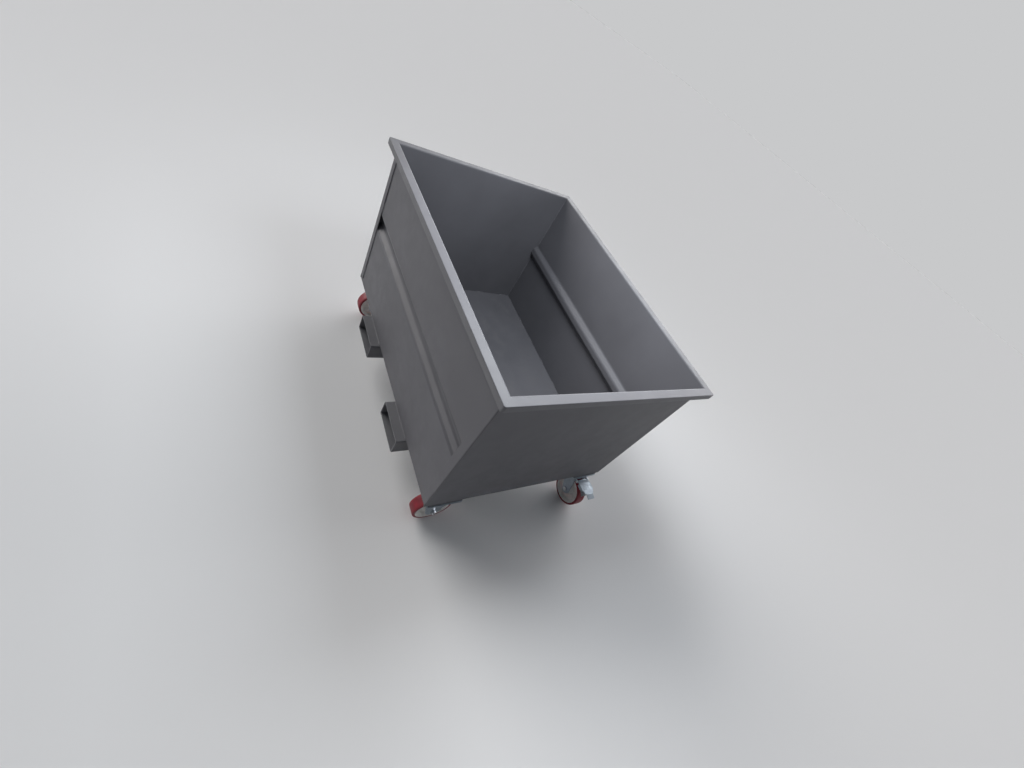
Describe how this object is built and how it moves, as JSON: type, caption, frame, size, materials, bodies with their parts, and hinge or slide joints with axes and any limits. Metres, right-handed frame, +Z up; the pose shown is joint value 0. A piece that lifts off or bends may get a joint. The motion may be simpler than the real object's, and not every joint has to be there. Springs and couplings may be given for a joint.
{
  "type": "wheeled waste bin",
  "caption": "Open-top rectangular steel waste bin on castors, with fork pockets across its underside, a boxed rim, a pressed bead along each long side and brakes on the swivel castors.",
  "frame": {"origin": "on the floor under the wheels, midway between the ends and midway between the long sides of the whole bin", "axes": "+Z up, +X along the length towards the right end, -Y towards the front long side, which carries the fixed castors"},
  "size_m": [1.3406, 0.912, 0.83],
  "materials": {
    "painted_steel": "semi-gloss dark grey paint",
    "zinc_plate": "bright zinc plated pressed steel",
    "zinc_hardware": "zinc plated fasteners",
    "tread": "dark red polyurethane tread, satin",
    "wheel_core": "off-white moulded polyamide",
    "bearing_steel": "oiled steel"
  },
  "bodies": {
    "bin": {"floor_plate": "painted_steel", "front_panel": "painted_steel", "back_panel": "painted_steel", "left_end_panel": "painted_steel", "right_end_panel": "painted_steel", "front_rim_tube": "painted_steel", "back_rim_tube": "painted_steel", "left_rim_tube": "painted_steel", "right_rim_tube": "painted_steel", "left_fork_pocket": "painted_steel", "right_fork_pocket": "painted_steel", "castor_pads": "painted_steel", "plate_washers": "zinc_hardware", "plate_bolts": "zinc_hardware", "front_left_castor_fork": "zinc_plate", "front_left_axle_bolt": "zinc_hardware", "front_left_axle_nut": "zinc_hardware", "front_left_axle_spacer": "zinc_hardware", "back_left_castor_plate": "zinc_plate", "back_left_king_pin": "zinc_hardware", "front_right_castor_fork": "zinc_plate", "front_right_axle_bolt": "zinc_hardware", "front_right_axle_nut": "zinc_hardware", "front_right_axle_spacer": "zinc_hardware", "back_right_castor_plate": "zinc_plate", "back_right_king_pin": "zinc_hardware"},
    "front_left_wheel": {"front_left_wheel_hub": "wheel_core", "front_left_wheel_tyre": "tread", "front_left_wheel_bearings": "bearing_steel"},
    "back_left_swivel": {"back_left_castor_fork": "zinc_plate", "back_left_ball_cage": "bearing_steel", "back_left_axle_bolt": "zinc_hardware", "back_left_axle_nut": "zinc_hardware", "back_left_axle_spacer": "zinc_hardware", "back_left_brake_bracket": "zinc_plate", "back_left_brake_pin": "zinc_hardware"},
    "back_left_wheel": {"back_left_wheel_hub": "wheel_core", "back_left_wheel_tyre": "tread", "back_left_wheel_bearings": "bearing_steel"},
    "back_left_brake": {"back_left_brake_pedal": "zinc_plate", "back_left_brake_shoe": "bearing_steel"},
    "front_right_wheel": {"front_right_wheel_hub": "wheel_core", "front_right_wheel_tyre": "tread", "front_right_wheel_bearings": "bearing_steel"},
    "back_right_swivel": {"back_right_castor_fork": "zinc_plate", "back_right_ball_cage": "bearing_steel", "back_right_axle_bolt": "zinc_hardware", "back_right_axle_nut": "zinc_hardware", "back_right_axle_spacer": "zinc_hardware", "back_right_brake_bracket": "zinc_plate", "back_right_brake_pin": "zinc_hardware"},
    "back_right_wheel": {"back_right_wheel_hub": "wheel_core", "back_right_wheel_tyre": "tread", "back_right_wheel_bearings": "bearing_steel"},
    "back_right_brake": {"back_right_brake_pedal": "zinc_plate", "back_right_brake_shoe": "bearing_steel"}
  },
  "joints": [
    {"name": "front_left_wheel_spin", "type": "hinge", "parent": "bin", "child": "front_left_wheel", "pos_m": [-0.52, -0.338, 0.075], "axis": [1, 0, 0], "continuous": true},
    {"name": "back_left_castor_swivel", "type": "hinge", "parent": "bin", "child": "back_left_swivel", "pos_m": [-0.52, 0.338, 0.075], "axis": [0, 0, 1], "continuous": true},
    {"name": "back_left_wheel_spin", "type": "hinge", "parent": "back_left_swivel", "child": "back_left_wheel", "pos_m": [-0.573, 0.338, 0.075], "axis": [0, 1, 0], "continuous": true},
    {"name": "back_left_brake_press", "type": "hinge", "parent": "back_left_swivel", "child": "back_left_brake", "pos_m": [-0.582, 0.338, 0.1615], "axis": [0, -1, 0], "range_deg": [0, 12]},
    {"name": "front_right_wheel_spin", "type": "hinge", "parent": "bin", "child": "front_right_wheel", "pos_m": [0.52, -0.338, 0.075], "axis": [1, 0, 0], "continuous": true},
    {"name": "back_right_castor_swivel", "type": "hinge", "parent": "bin", "child": "back_right_swivel", "pos_m": [0.52, 0.338, 0.075], "axis": [0, 0, 1], "continuous": true},
    {"name": "back_right_wheel_spin", "type": "hinge", "parent": "back_right_swivel", "child": "back_right_wheel", "pos_m": [0.573, 0.338, 0.075], "axis": [0, 1, 0], "continuous": true},
    {"name": "back_right_brake_press", "type": "hinge", "parent": "back_right_swivel", "child": "back_right_brake", "pos_m": [0.582, 0.338, 0.1615], "axis": [0, 1, 0], "range_deg": [0, 12]}
  ]
}
